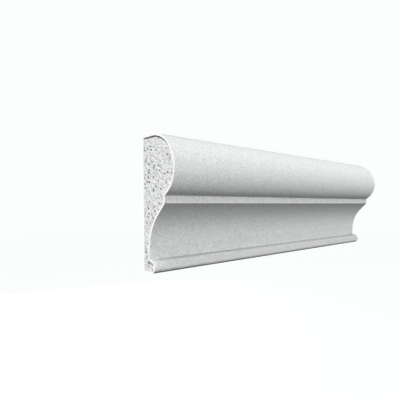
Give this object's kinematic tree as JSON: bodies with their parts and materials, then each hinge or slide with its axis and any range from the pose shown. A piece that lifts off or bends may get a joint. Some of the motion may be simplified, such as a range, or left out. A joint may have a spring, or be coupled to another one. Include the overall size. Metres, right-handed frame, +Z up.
{
  "type": "window surround moulding",
  "caption": "Straight length of facade window surround moulding: light foam core under a thin mineral coat, with a large torus, a fillet, a long cove and a small foot bead.",
  "frame": {"origin": "centre of the flat back, the face that is glued to the wall", "axes": "+X along the length, +Y into the wall, +Z up; the moulding stands out of the wall towards -Y"},
  "size_m": [0.4, 0.047, 0.125],
  "materials": {
    "foam": "cut expanded-bead foam, rough, with open voids",
    "coat": "matt fine-grained mineral coat"
  },
  "bodies": {
    "root": {"foam_core": "foam", "mineral_coat": "coat"}
  },
  "joints": []
}
